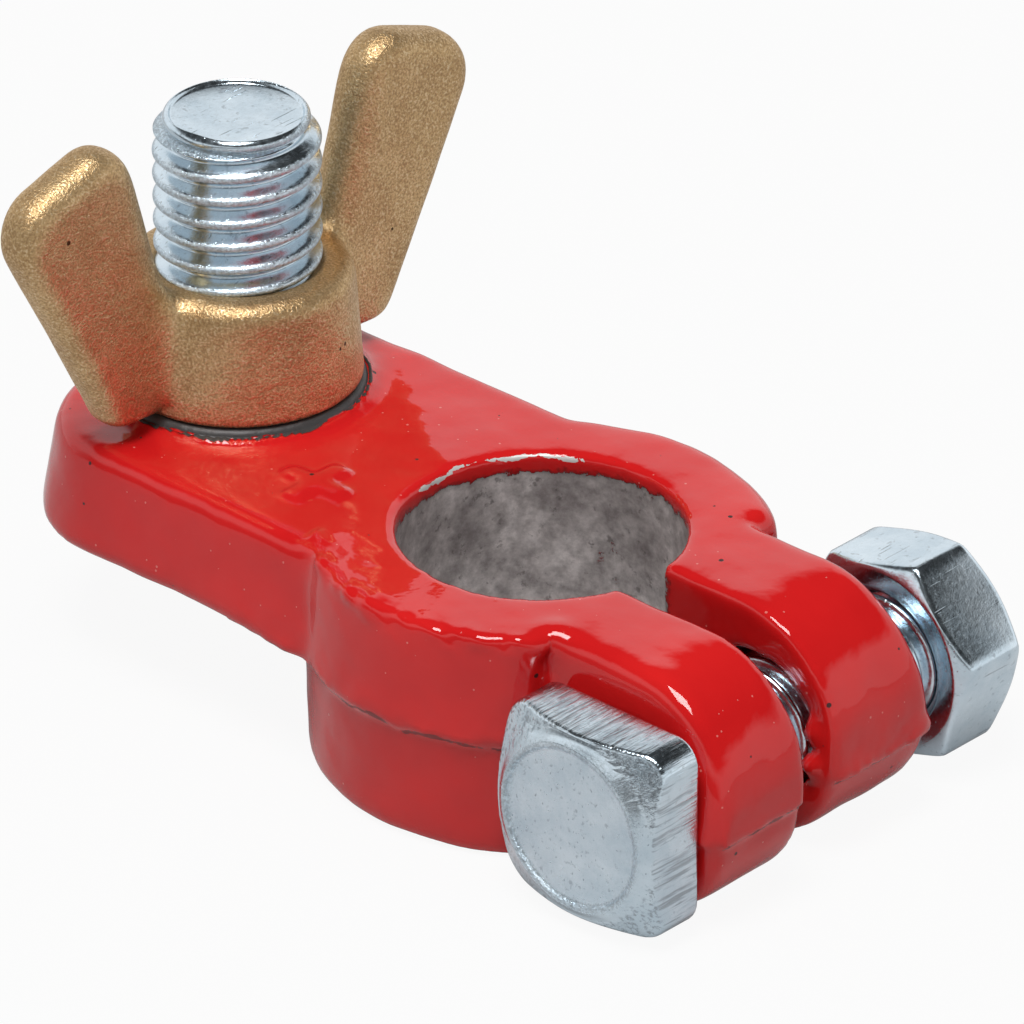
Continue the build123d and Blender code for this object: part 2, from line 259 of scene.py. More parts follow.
def bare_lead(points):
    """How deep each corner lies inside the bare lead, in about millimetres, and less than 0 outside.

    In the socket it is the lesser of the depth under the enamel's wavy edge and behind the wall.
    On the pad it is three times the height over that edge, and leaps up as soon as it is bare.
    """
    x, y, z = points.T
    socket_radius = SOCKET_RADIUS + np.clip(SOCKET_GRIP - z, 0, None) * SOCKET_TAPER
    band = SOCKET_ENAMEL + SOCKET_ENAMEL_SWING * np.cos(np.arctan2(y, x) - SOCKET_ENAMEL_TURN)
    edge = ARM_TOP - band + 0.16 * MM * ripples(points, 5 * MM, seed=7)
    in_socket = np.minimum(edge - z, 0.3 * MM - (np.hypot(x, y) - socket_radius))
    on_pad = z - ARM_TOP - PAD_ENAMEL - 0.06 * MM * ripples(points, 3 * MM, seed=13)
    on_pad = np.where(on_pad > 0, 0.6 * MM + 3 * on_pad, 3 * on_pad)
    return np.maximum(in_socket, on_pad) / MM


def rim_wear(points):
    """Millimetres from the worn line on the socket's rim, and far from it all along its front half.

    It is measured from the wall of the socket over the rim and outwards along the top face.
    """
    x, y, z = points.T
    off_post = np.hypot(x, y)
    over_rim = (off_post - SOCKET_RADIUS + z - ARM_TOP) / MM + 0.30 * ripples(points, 4 * MM, seed=12)
    turn = abs((np.arctan2(y, x) - WORN_TURN + math.pi) % (2 * math.pi) - math.pi)
    far = np.clip(off_post / MM - 10, 0, None) + 0.6 * np.clip(turn - WORN_HALF, 0, None)
    return abs(over_rim + 0.1) + far


def joint_distance(points, normals):
    """Millimetres up or down to the mould's joint, and 5 more where the joint doesn't show."""
    return abs(above_joint(points)) / MM + np.where(outside_of_mould(points, normals), 0, 5)


def set_attribute(mesh, name, values):
    """Store a number for each corner of a mesh, which its material reads by the name."""
    mesh.attributes.new(name, "FLOAT", "POINT").data.foreach_set("value", values.astype(np.float32))


casting = remeshed(copy_of_node("clamp_body", "casting"), CASTING_CELLS)
lower_edge, all_over = softness(corners_and_normals(casting.data)[0])
averaged(casting.data, lower_edge, EDGE_ROUNDS)
averaged(casting.data, all_over, ALL_OVER_ROUNDS)
points, normals = corners_and_normals(casting.data)
points += normals * cast_surface(points, normals)[:, None]
points[:, 2] += paint_climb(points, normals)
points = np.clip(points, CASTING_LOW, CASTING_HIGH)
casting.data.vertices.foreach_set("co", points.ravel())
set_attribute(casting.data, "bare_lead", bare_lead(points))
set_attribute(casting.data, "rim_wear", rim_wear(points))
set_attribute(casting.data, "joint", joint_distance(points, normals))
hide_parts("clamp_body")
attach(casting, "clamp")


def feed(tree, socket, value):
    """Link an output to a socket, or set the socket to a plain value."""
    if isinstance(value, bpy.types.NodeSocket):
        tree.links.new(value, socket)
    else:
        socket.default_value = value


def node(tree, kind, settings=None, **sockets):
    """A shader node with its settings and its sockets fed, by name or as _0, _1 by their place."""
    made = tree.nodes.new("ShaderNode" + kind)
    for name, value in (settings or {}).items():
        setattr(made, name, value)
    for name, value in sockets.items():
        socket = made.inputs[int(name[1:])] if name[0] == "_" else made.inputs[name.replace("_", " ")]
        feed(tree, socket, value)
    return made


def new_material(name):
    """An empty node material with its surface shader and Object coordinates."""
    material = bpy.data.materials.new(name)
    material.use_nodes = True
    tree = material.node_tree
    tree.nodes.clear()
    shader = node(tree, "BsdfPrincipled")
    node(tree, "OutputMaterial", Surface=shader.outputs["BSDF"])
    place = node(tree, "TexCoord").outputs["Object"]
    return material, tree, shader, place


def finish_surface(tree, shader, colour, metal, roughness, height, depth):
    """Feed the surface shader: a height of 1 stands out of the surface by the depth."""
    bump = node(tree, "Bump", Height=height, Distance=depth, Strength=1.0)
    feed(tree, shader.inputs["Base Color"], colour)
    feed(tree, shader.inputs["Metallic"], metal)
    feed(tree, shader.inputs["Roughness"], roughness)
    feed(tree, shader.inputs["Normal"], bump.outputs["Normal"])


def attribute(tree, name):
    """The number that is stored under the name for each corner of a piece."""
    return node(tree, "Attribute", {"attribute_name": name}).outputs["Fac"]


def noise(tree, place, wavelength, detail=2.0, roughness=0.5):
    """Noise of about 0.3 to 0.7 whose largest grains are one wavelength across."""
    made = node(tree, "TexNoise", Vector=place, Scale=1 / wavelength, Detail=detail, Roughness=roughness)
    return made.outputs["Fac"]


def ramp(tree, value, low, high, to_low=0.0, to_high=1.0):
    """The value carried from one range to another and held at the range's ends."""
    made = node(tree, "MapRange", Value=value, From_Min=low, From_Max=high, To_Min=to_low, To_Max=to_high)
    return made.outputs["Result"]


def maths(tree, operation, first, second):
    """The outcome of one operation on two numbers or outputs."""
    return node(tree, "Math", {"operation": operation}, _0=first, _1=second).outputs["Value"]


def times(tree, first, second):
    """The product of two numbers or outputs."""
    return maths(tree, "MULTIPLY", first, second)


def plus(tree, first, second):
    """Their sum."""
    return maths(tree, "ADD", first, second)


def minus(tree, first, second):
    """The first less the second."""
    return maths(tree, "SUBTRACT", first, second)


def greater(tree, first, second):
    """The greater of the two."""
    return maths(tree, "MAXIMUM", first, second)


def blend(tree, share, first, second):
    """The first colour where the share is 0, and the second where it is 1."""
    return node(tree, "Mix", {"data_type": "RGBA"}, _0=share, _6=first, _7=second).outputs[2]


def speckles(tree, place, spacing, low, high):
    """Round dots of many sizes, one to each cell of the spacing, up to the high share of it."""
    cells = node(tree, "TexVoronoi", Vector=place, Scale=1 / spacing, Randomness=1.0).outputs
    size = node(tree, "SeparateColor", Color=cells["Color"]).outputs["Red"]
    return maths(tree, "LESS_THAN", cells["Distance"], ramp(tree, size, low, 1.0, 0.0, high))


RED, BRIGHT_RED = (0.57, 0.010, 0.011, 1), (0.65, 0.014, 0.014, 1)
THIN_RED, PALE_DUST = (0.14, 0.008, 0.008, 1), (0.85, 0.30, 0.26, 1)
DARK_HOLE = (0.05, 0.006, 0.006, 1)
GREY_LEAD, PALE_LEAD = (0.34, 0.305, 0.30, 1), (0.80, 0.745, 0.73, 1)
LEAD_SPOT, STAINED_LEAD = (0.10, 0.085, 0.08, 1), (0.09, 0.07, 0.068, 1)
# The pad's dark lead colour on the next line is painted shade: the wing nut's shadow on the pad.
PAINTED_PAD_SHADE, WORN_LEAD = (0.060, 0.056, 0.056, 1), (0.62, 0.60, 0.58, 1)


def enamel_colour(tree, place, depth, pinhole, dust, crack):
    """Two reds in broad patches, darker where it is thin at its torn edge and over the crack."""
    patch = ramp(tree, noise(tree, place, 9 * MM, 3.0), 0.35, 0.65)
    thin = greater(tree, ramp(tree, depth, -0.30, -0.05, 0.0, 0.75), times(tree, crack, 0.8))
    colour = blend(tree, thin, blend(tree, patch, RED, BRIGHT_RED), THIN_RED)
    colour = blend(tree, times(tree, dust, 0.55), colour, PALE_DUST)
    return blend(tree, pinhole, colour, DARK_HOLE)


def lead_colour(tree, place, depth, worn):
    """Mottled and spotted grey, stained beside the enamel, silver where it is worn, painted shade on the pad.
    """
    mottle = ramp(tree, noise(tree, place, 3.4 * MM, 8.0, 0.68), 0.34, 0.64)
    spots = ramp(tree, noise(tree, place, 0.9 * MM, 4.0, 0.65), 0.60, 0.68)
    colour = blend(tree, mottle, GREY_LEAD, PALE_LEAD)
    colour = blend(tree, times(tree, spots, 0.6), colour, LEAD_SPOT)
    colour = blend(tree, ramp(tree, depth, 0.0, 0.5, 0.6, 0.0), colour, STAINED_LEAD)
    # Painted shade: the bare pad above the arm's top is darkened as if in the wing nut's shadow.
    height = node(tree, "SeparateXYZ", Vector=place).outputs["Z"]
    pad_shade = ramp(tree, height, ARM_TOP + 0.15 * MM, ARM_TOP + 0.35 * MM)
    return blend(tree, worn, blend(tree, pad_shade, colour, PAINTED_PAD_SHADE), WORN_LEAD)


def red_enamel():
    """Glossy red enamel with pinholes and dust in it, torn off raggedly from mottled grey lead.

    The film lies proud of the lead and ripples like orange peel. It is cracked along the joint.
    """
    material, tree, shader, place = new_material("red_enamel")
    tear = ramp(tree, noise(tree, place, 0.8 * MM, 4.0, 0.65), 0.3, 0.7, -0.26, 0.26)
    depth = plus(tree, attribute(tree, "bare_lead"), tear)
    width = ramp(tree, noise(tree, place, 1.5 * MM, 4.0, 0.6), 0.36, 0.64, -0.02, 0.30)
    worn = maths(tree, "LESS_THAN", attribute(tree, "rim_wear"), width)
    lead_shows = greater(tree, ramp(tree, depth, -0.03, 0.03), worn)
    crack = ramp(tree, noise(tree, place, 1.2 * MM, 4.0, 0.65), 0.42, 0.60, 0.20, -0.02)
    crack = maths(tree, "LESS_THAN", attribute(tree, "joint"), crack)
    pinhole = speckles(tree, place, 1.5 * MM, 0.5, 0.10)
    dust = speckles(tree, place, 0.7 * MM, 0.45, 0.12)
    broken = greater(tree, pinhole, crack)

    peel = plus(tree, noise(tree, place, 3.6 * MM, 1.0), times(tree, noise(tree, place, 1.3 * MM, 2.0), 0.35))
    peel = times(tree, peel, ramp(tree, lead_shows, 0, 1, 1.1, 0.0))
    pits = times(tree, noise(tree, place, 0.6 * MM, 4.0, 0.7), lead_shows)
    height = plus(tree, minus(tree, peel, lead_shows), times(tree, pits, 0.7))
    height = plus(tree, minus(tree, height, broken), times(tree, dust, 0.25))

    enamel = enamel_colour(tree, place, depth, pinhole, dust, crack)
    colour = blend(tree, lead_shows, enamel, lead_colour(tree, place, depth, worn))
    metal = ramp(tree, lead_shows, 0, 1, 0.0, 0.25)
    roughness = ramp(tree, greater(tree, lead_shows, broken), 0, 1, 0.06, 0.45)
    finish_surface(tree, shader, colour, metal, roughness, height, 0.06 * MM)
    return material


casting.data.materials.append(red_enamel())


# --- stud --------------------------------------------------------------------------------------
# M10 steel stud, cast into the arm with its hexagon head flush with the underside. The thread is
# rolled, which leaves round scuffed crests and a raised lip round the flat end. Bright zinc plated.

STUD_COLUMNS, STUD_THREAD_ROWS = 120, 190
STUD_FOOT, STUD_TOP = STUD_LOW.z, STUD_HIGH.z
STUD_RADIUS = 5.0 * MM
STUD_PITCH = 1.5 * MM
STUD_PITCH_RADIUS = 4.513 * MM      # of a 60 degree thread
STUD_THREAD_DEPTH = 0.85 * MM
STUD_START = 0.57                   # of a turn
STUD_LIP_RADIUS = 4.36 * MM
STUD_LIP_RISE = 0.35 * MM
STUD_LIP_HEIGHT = 0.8 * MM
STUD_NOTCH = math.radians(279)      # where the thread's groove runs out through the lip
STUD_NOTCH_HALF = 0.35              # radians
STUD_GROOVE_DEPTH, STUD_GROOVE_HALF = 0.28 * MM, 0.16 * MM
STUD_NOTCH_DEPTH, STUD_NOTCH_HEIGHT = 0.25 * MM, 0.45 * MM
# shares of the end's radius, and millimetres under the top, from the lip to the middle
STUD_END = ((0.985, 0.02), (0.970, 0.10), (0.957, 0.19), (0.945, 0.24), (0.925, 0.26), (0.5, 0.26))
STUD_SHANK_RADIUS = 4.5 * MM
STUD_HEAD_ACROSS = STUD_HIGH.x - STUD_LOW.x
STUD_HEAD_TOP = STUD_FOOT + 4.0 * MM
HUB_TOP = 23.1 * MM
HUB_COUNTERSINK = HUB_TOP - (STUD_RADIUS + 0.1 * MM - STUD_PITCH_RADIUS)     # its foot, in the hub
CREST_POWER = 1.25                  # more than 1 makes a thread's crests broader than its roots


def softened(corners, bite, steps=5):
    """A profile whose inner corners are rounded over, for every column of a piece at once.

    corners is (corner, column, 2). From a point one bite before each corner to a point one bite
    after it, the profile follows a parabola that has the corner as its control point. A bite is
    held to 0.45 of the run that it is taken from.
    """
    rows = [corners[:1]]
    share = np.linspace(0, 1, steps)[:, None, None]
    for before, corner, after, size in zip(corners[:-2], corners[1:-1], corners[2:], bite):
        start, end = before - corner, after - corner
        reach_start = np.linalg.norm(start, axis=-1, keepdims=True)
        reach_end = np.linalg.norm(end, axis=-1, keepdims=True)
        start = start * np.minimum(size / np.maximum(reach_start, MM / 1000), 0.45)
        end = end * np.minimum(size / np.maximum(reach_end, MM / 1000), 0.45)
        rows.append(corner + start * (1 - share) ** 2 + end * share ** 2)
    rows.append(corners[-1:])
    return np.concatenate(rows)


def profile(corners, plain):
    """Pairs of radius and height as (corner, column, 2), where each is a number or a row of them."""
    return np.array([np.stack([radius * plain, height * plain], -1) for radius, height in corners])


def thread_depth(height, angle, pitch, start=0.0):
    """Share of a right-hand thread's depth, 0 on the crests and 1 in the roots.

    It follows a cosine of the turn and height together, raised to a power that makes the crests
    a little broader than the roots. A crest passes the angle of 0 at the start, in turns.
    """
    wave = 0.5 - 0.5 * np.cos(2 * math.pi * (height / pitch - start - angle / (2 * math.pi)))
    return wave ** CREST_POWER


def skin(name, rows, ring):
    """A closed piece from rows of points, (row, column, 3), with columns joined up all round.

    Its first and last rows are joined to each other where it is a ring, and otherwise each row
    is closed by one point in its middle. Faces are wound so that they point outwards.
    """
    count_rows, count = rows.shape[:2]
    index = np.arange(count_rows * count).reshape(count_rows, count)
    if ring:
        index = np.vstack([index, index[:1]])
    here, there = index[:-1], index[1:]
    quads = np.stack([here, np.roll(here, -1, 1), np.roll(there, -1, 1), there], -1).reshape(-1, 4)
    faces = quads.tolist()
    points = rows.reshape(-1, 3)
    if not ring:
        points = np.vstack([points, rows[0].mean(0), rows[-1].mean(0)])
        first, last = len(points) - 2, len(points) - 1
        faces += [[first, b, a] for a, b in zip(index[0], np.roll(index[0], -1))]
        faces += [[last, a, b] for a, b in zip(index[-1], np.roll(index[-1], -1))]
    mesh = bpy.data.meshes.new(name)
    mesh.from_pydata(points.tolist(), [], faces)
    mesh.validate()
    mesh.polygons.foreach_set("use_smooth", np.ones(len(mesh.polygons), bool))
    piece = bpy.data.objects.new(name, mesh)
    bpy.context.scene.collection.objects.link(piece)
    return piece


def placed(radius, height, angle, origin, side, up):
    """Points at each radius and height round an axis: up is its way, and angles start at side."""
    side, up = np.array(side, float), np.array(up, float)
    across = np.cross(up, side)
    flat = radius[..., None] * (np.cos(angle)[..., None] * side + np.sin(angle)[..., None] * across)
    return np.array(origin) + flat + height[..., None] * up


def hexagon_radius(angle, across):
    """Distance from the middle of a hexagon to its outline, with a flat at the angle of 0."""
    return across / 2 / np.cos((angle + math.pi / 6) % (math.pi / 3) - math.pi / 6)


def stud_thread(angle, plain):
    """Radius, height and thread depth up the free thread, which ends in a lip with a groove under it.

    The radius is the crests' less the thread's depth, held to a slope in the hub's countersink.
    Over the lip it is the lip's, rounded at the top, and a notch lets the last groove out.
    """
    height = np.linspace(HUB_COUNTERSINK, STUD_TOP, STUD_THREAD_ROWS)[1:, None] * plain
    depth = thread_depth(height, angle, STUD_PITCH, STUD_START)
    radius = STUD_RADIUS - STUD_THREAD_DEPTH * depth
    radius = np.minimum(radius, STUD_PITCH_RADIUS + (height - HUB_COUNTERSINK))
    down = STUD_TOP - height
    lip = STUD_LIP_RADIUS - 0.7 * STUD_LIP_RISE * np.clip(1 - down / STUD_LIP_RISE, 0, 1) ** 2
    below = np.clip(down - STUD_LIP_HEIGHT, 0, None)
    notch = bell((angle - STUD_NOTCH + math.pi) % (2 * math.pi) - math.pi, STUD_NOTCH_HALF)
    groove = STUD_GROOVE_DEPTH * bell(down - STUD_LIP_HEIGHT, STUD_GROOVE_HALF)
    groove = groove + STUD_NOTCH_DEPTH * notch * bell(down, STUD_NOTCH_HEIGHT)
    on_lip = down < STUD_LIP_HEIGHT
    return np.where(on_lip, lip, np.minimum(radius, lip + 1.5 * below)) - groove, height, depth


def stud_rows():
    """Head, shank, plain length inside the wing nut, thread and end, as radius and height.

    The fourth value is how far each point is scuffed, which only the thread's crests are.
    """
    angle = np.linspace(0, 2 * math.pi, STUD_COLUMNS, endpoint=False)
    hexagon = hexagon_radius(angle, STUD_HEAD_ACROSS)
    plain = np.ones_like(angle)
    corners = profile([
        (0.05 * MM, STUD_FOOT), (hexagon, STUD_FOOT), (hexagon, STUD_HEAD_TOP),
        (STUD_SHANK_RADIUS, STUD_HEAD_TOP), (STUD_SHANK_RADIUS, PAD_TOP),
        (STUD_PITCH_RADIUS, PAD_TOP), (STUD_PITCH_RADIUS, HUB_COUNTERSINK)], plain)
    body = softened(corners, [0.3 * MM, 0.3 * MM, 0.2 * MM, 0.02 * MM, 0.02 * MM])
    radius, height, depth = stud_thread(angle, plain)
    end = profile([(share * radius[-1], STUD_TOP - down * MM) for share, down in STUD_END], plain)
    rows = np.concatenate([body, np.stack([radius, height], -1), end])
    scuffed = np.concatenate([0 * body[..., 0], np.clip(1 - 4 * depth, 0, 1), 0 * end[..., 0]])
    return rows[..., 0], rows[..., 1], angle, scuffed


DULL_ZINC, BRIGHT_ZINC = (0.58, 0.695, 0.78, 1), (0.73, 0.835, 0.91, 1)
DARK_ZINC = (0.22, 0.24, 0.26, 1)


def zinc_plate(name, shear_marks=False):
    """Bright zinc plate: cloudy bluish silver, finely specked and scratched, rough where scuffed.

    Shear marks are dark grooves along the Y axis, wherever the piece is marked as sheared.
    """
    material, tree, shader, place = new_material(name)
    scuffed = attribute(tree, "scuffed")
    cloud = ramp(tree, noise(tree, place, 3.0 * MM, 5.0, 0.6), 0.35, 0.65)
    speck = ramp(tree, noise(tree, place, 0.45 * MM, 3.0, 0.6), 0.61, 0.70, 0.0, 0.4)
    strokes = node(tree, "Mapping", Vector=place, Rotation=(0.3, 0.5, 0.7), Scale=(1.0, 0.05, 0.6))
    scratch = ramp(tree, noise(tree, strokes.outputs["Vector"], 0.16 * MM, 1.0), 0.70, 0.76, 0.0, 0.5)
    grit = ramp(tree, noise(tree, place, 0.22 * MM, 3.0, 0.7), 0.44, 0.56)
    worn = times(tree, grit, scuffed)
    dark = greater(tree, greater(tree, speck, scratch), times(tree, worn, 0.45))
    grain = noise(tree, place, 0.30 * MM, 4.0, 0.7)
    height = plus(tree, times(tree, grain, 0.35), times(tree, worn, 0.9))
    height = minus(tree, height, times(tree, scratch, 0.8))
    if shear_marks:
        sheared = attribute(tree, "sheared")
        drawn = node(tree, "Mapping", Vector=place, Scale=(1.0, 0.06, 1.0)).outputs["Vector"]
        marks = noise(tree, drawn, 0.30 * MM, 3.0, 0.65)
        height = plus(tree, height, times(tree, times(tree, marks, 1.6), sheared))
        dark = greater(tree, dark, times(tree, ramp(tree, marks, 0.50, 0.38, 0.0, 0.6), sheared))
    colour = blend(tree, dark, blend(tree, cloud, DULL_ZINC, BRIGHT_ZINC), DARK_ZINC)
    roughness = plus(tree, ramp(tree, grain, 0.3, 0.7, 0.12, 0.28), times(tree, scuffed, 0.15))
    finish_surface(tree, shader, colour, 1.0, roughness, height, 0.03 * MM)
    return material


def mark_skin(piece, name, share):
    """Store a share for each corner of a skin as an attribute, with 0 for its two middle points."""
    set_attribute(piece.data, name, np.append(share.ravel(), [0, 0]))


radius, height, angle, scuffed = stud_rows()
rows = placed(radius, height, angle, (STUD_X, STUD_Y, 0), (1, 0, 0), (0, 0, 1))
stud = skin("threaded_stud", rows, ring=False)
mark_skin(stud, "scuffed", scuffed)
stud.data.materials.append(zinc_plate("stud_zinc"))
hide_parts("stud")
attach(stud, "clamp")


# --- wing nut ----------------------------------------------------------------------------------
# Sand-cast brass, hub and wings in one piece with soft fillets between them. It was tumbled and
# left as cast, so the whole skin has the fine grain of the sand. It is tapped M10.

WING_NUT_LOW, WING_NUT_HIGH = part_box("wing_nut")
WING_NUT_CELLS = 0.62               # of the grid's width, which the wing nut takes up
WING_NUT_FOOT = WING_NUT_LOW.z
FILLET_ROUNDS, WING_NUT_ROUNDS = 60, 2
FILLET_RADIUS, FILLET_REACH = 7.6 * MM, 2.2 * MM         # where the wings leave the hub
WING_HALF = 3.2 * MM                # half the width of a wing with its fillets
BORE_REACH = 5.7 * MM               # the bore and its countersink aren't softened
DENTS = ((0.05 * MM, 7 * MM, 11), (0.02 * MM, 2.5 * MM, 12))     # height, wavelength and seed
BARE_BRASS, PALE_BRASS = (0.55, 0.36, 0.175, 1), (0.70, 0.49, 0.255, 1)
# The second colour on the next line is a painted highlight: glints on the grain's high points.
BROWN_BRASS, PAINTED_BRASS_GLINT = (0.22, 0.12, 0.055, 1), (0.90, 0.74, 0.50, 1)
BRASS_PIT = (0.10, 0.06, 0.03, 1)


def wing_nut_softness(points):
    """Shares for averaged: of the fillets where the wings leave the hub, and of the whole skin."""
    x, y, z = points.T
    off_stud = np.hypot(x - STUD_X, y - STUD_Y)
    fillets = bell(off_stud - FILLET_RADIUS, FILLET_REACH) * bell(x - STUD_X, WING_HALF)
    fillets *= z > WING_NUT_FOOT + 1.0 * MM
    in_bore = off_stud < BORE_REACH
    return np.where(in_bore, 0, fillets), np.where(in_bore, 0, EVENLY_SOFT)


def wing_nut_dents(points):
    """How far each corner stands out: faint waves that die out at the foot and towards the bore."""
    x, y, z = points.T
    above_foot = np.clip((z - WING_NUT_FOOT - 0.4 * MM) / MM, 0, 1)
    clear_of_bore = np.clip((np.hypot(x - STUD_X, y - STUD_Y) - 5.4 * MM) / MM, 0, 1)
    waves = sum(height * ripples(points, wavelength, seed) for height, wavelength, seed in DENTS)
    return waves * above_foot * clear_of_bore


wing_nut = remeshed(copy_of_node("wing_nut", "brass_wing_nut"), WING_NUT_CELLS)
fillets, all_over = wing_nut_softness(corners_and_normals(wing_nut.data)[0])
averaged(wing_nut.data, fillets, FILLET_ROUNDS)
averaged(wing_nut.data, all_over, WING_NUT_ROUNDS)
points, normals = corners_and_normals(wing_nut.data)
points += normals * wing_nut_dents(points)[:, None]
points = np.clip(points, WING_NUT_LOW, WING_NUT_HIGH)
wing_nut.data.vertices.foreach_set("co", points.ravel())


def cast_brass():
    """Old-gold brass with the grain of the sand it was cast in, browner in its low places, with painted
    glints.
    """
    material, tree, shader, place = new_material("cast_brass")
    patch = ramp(tree, noise(tree, place, 4.0 * MM, 5.0, 0.65), 0.35, 0.65)
    grain = noise(tree, place, 0.15 * MM, 2.0, 0.6)
    pit = speckles(tree, place, 2.2 * MM, 0.7, 0.10)
    colour = blend(tree, patch, BARE_BRASS, PALE_BRASS)
    colour = blend(tree, ramp(tree, grain, 0.38, 0.52, 0.42, 0.0), colour, BROWN_BRASS)
    # Painted highlight: pale specks on the grain's high points stand in for glints.
    colour = blend(tree, ramp(tree, grain, 0.57, 0.64, 0.0, 0.5), colour, PAINTED_BRASS_GLINT)
    colour = blend(tree, pit, colour, BRASS_PIT)
    roughness = ramp(tree, grain, 0.35, 0.65, 0.54, 0.38)
    height = minus(tree, plus(tree, grain, noise(tree, place, 0.7 * MM, 2.0)), pit)
    finish_surface(tree, shader, colour, 1.0, roughness, height, 0.055 * MM)
    return material


wing_nut.data.materials.append(cast_brass())
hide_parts("wing_nut")
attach(wing_nut, "wing")


# --- clamping bolt -----------------------------------------------------------------------------
# M8 square-head bolt, hot forged with a round flat on its head, its four sides sheared. The shank
# is rolled with a coarse thread to its chamfered end. Zinc plated like the stud.

BOLT_AXIS = ((BOLT_LOW.x + BOLT_HIGH.x) / 2, 0, (BOLT_LOW.z + BOLT_HIGH.z) / 2)
HEAD_TOP, BOLT_END = BOLT_LOW.y, BOLT_HIGH.y
HEAD_SEAT = HEAD_TOP + 4.4 * MM
HEAD_ACROSS = BOLT_HIGH.x - BOLT_LOW.x
HEAD_CORNER = 1.6 * MM
HEAD_CORNER_COLUMNS, HEAD_SIDE_COLUMNS = 9, 22
HEAD_FACE_RADIUS = 5.25 * MM
HEAD_DISH = 0.22 * MM
DISH_FOOT, DISH_EDGE = 0.92 * HEAD_FACE_RADIUS, 0.95 * HEAD_FACE_RADIUS
CHAMFER_HOLLOW = 0.10 * MM
CHAMFER_SLOPE = math.tan(math.radians(30))
BOLT_RADIUS = 4.0 * MM
BOLT_PITCH = 1.25 * MM
BOLT_THREAD_DEPTH = 0.72 * MM
BOLT_THREAD_START = -6.0 * MM
BOLT_THREAD_ROWS = 330
BOLT_END_CHAMFER = 0.8 * MM


def rounded_square_angles(across, corner, per_corner, per_side):
    """Angle and distance of the points round a square with rounded corners, in even steps on each."""
    half = across / 2 - corner
    turn = np.linspace(-math.pi / 4, math.pi / 4, per_corner) + math.pi / 4
    arc = np.stack([half + corner * np.cos(turn), half + corner * np.sin(turn)], -1)
    side = np.linspace(half, -half, per_side + 2)[1:-1]
    top = np.stack([side, np.full(per_side, across / 2)], -1)
    quarter = np.vstack([arc, top])
    quarters = [quarter]
    for _ in range(3):
        quarters.append(np.stack([-quarters[-1][:, 1], quarters[-1][:, 0]], -1))
    outline = np.vstack(quarters)
    return np.arctan2(outline[:, 1], outline[:, 0]), np.hypot(outline[:, 0], outline[:, 1])


def bolt_rows():
    """Head face, chamfer, side and seat, then the threaded shank and its end, as radius and height.

    Heights run along +Y from the face of the head. The face is dished a little inside its round
    flat, and the chamfer rises 30 degrees from it to wherever the square's side cuts it off.
    """
    angle, square = rounded_square_angles(HEAD_ACROSS, HEAD_CORNER, HEAD_CORNER_COLUMNS, HEAD_SIDE_COLUMNS)
    plain = np.ones_like(angle)
    chamfer = HEAD_TOP + (square - HEAD_FACE_RADIUS) * CHAMFER_SLOPE
    waist = (HEAD_FACE_RADIUS + square) / 2
    hollow = (HEAD_TOP + chamfer) / 2 + CHAMFER_HOLLOW
    corners = profile([
        (0.5 * MM, HEAD_TOP + HEAD_DISH), (DISH_FOOT, HEAD_TOP + HEAD_DISH), (DISH_EDGE, HEAD_TOP),
        (HEAD_FACE_RADIUS, HEAD_TOP), (waist, hollow), (square, chamfer), (square, HEAD_SEAT),
        (BOLT_RADIUS, HEAD_SEAT), (BOLT_RADIUS, BOLT_THREAD_START)], plain)
    head = softened(corners, [0.2 * MM, 0.08 * MM, 0.10 * MM, 0.5 * MM, 0.30 * MM, 0.25 * MM, 0.1 * MM])
    height = np.linspace(BOLT_THREAD_START, BOLT_END, BOLT_THREAD_ROWS)[1:, None] * plain
    run_in = np.clip((height - BOLT_THREAD_START) / BOLT_PITCH, 0, 1)
    radius = BOLT_RADIUS - BOLT_THREAD_DEPTH * run_in * thread_depth(height, angle, BOLT_PITCH)
    radius = np.minimum(radius, BOLT_RADIUS - BOLT_END_CHAMFER + (BOLT_END - height))
    end = profile([(0.9 * radius[-1], BOLT_END), (0.5 * radius[-1], BOLT_END)], plain)
    rows = np.concatenate([head, np.stack([radius, height], -1), end])
    return rows[..., 0], rows[..., 1], angle


def head_marks(radius, height):
    """Shares of each point that is scuffed, round the dish's edge, and sheared, on the four sides."""
    round_dish = bell(radius - DISH_EDGE, 0.25 * MM) * (height < HEAD_TOP + 0.3 * MM)
    on_sides = (radius > HEAD_ACROSS / 2 - 0.1 * MM) & (height > HEAD_TOP + 0.5 * MM)
    return round_dish, np.where(on_sides & (height < HEAD_SEAT), 1.0, 0.0)


radius, height, angle = bolt_rows()
bolt = skin("square_head_bolt", placed(radius, height, angle, BOLT_AXIS, (1, 0, 0), (0, 1, 0)), ring=False)
scuffed, sheared = head_marks(radius, height)
mark_skin(bolt, "scuffed", scuffed)
mark_skin(bolt, "sheared", sheared)
bolt.data.materials.append(zinc_plate("bolt_zinc", shear_marks=True))
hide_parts("clamp_bolt")
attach(bolt, "bolt")


# --- hexagon nut -------------------------------------------------------------------------------
# M8 small-series nut, cold formed, with both faces chamfered and its bore countersunk. Zinc plated.
# It is run on by hand and stands a little off the ear.

NUT_COLUMNS = 144
NUT_LOW, NUT_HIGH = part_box("hex_nut")
NUT_NEAR, NUT_FAR = NUT_LOW.y, NUT_HIGH.y
NUT_ACROSS = 12.0 * MM
NUT_FACE_RADIUS = 5.75 * MM
NUT_BORE = 4.05 * MM
NUT_COUNTERSINK = 0.5 * MM
NUT_TURN = math.radians(11)
NUT_SOFT_EDGE, NUT_SOFT_CHAMFER = 0.12 * MM, 0.3 * MM


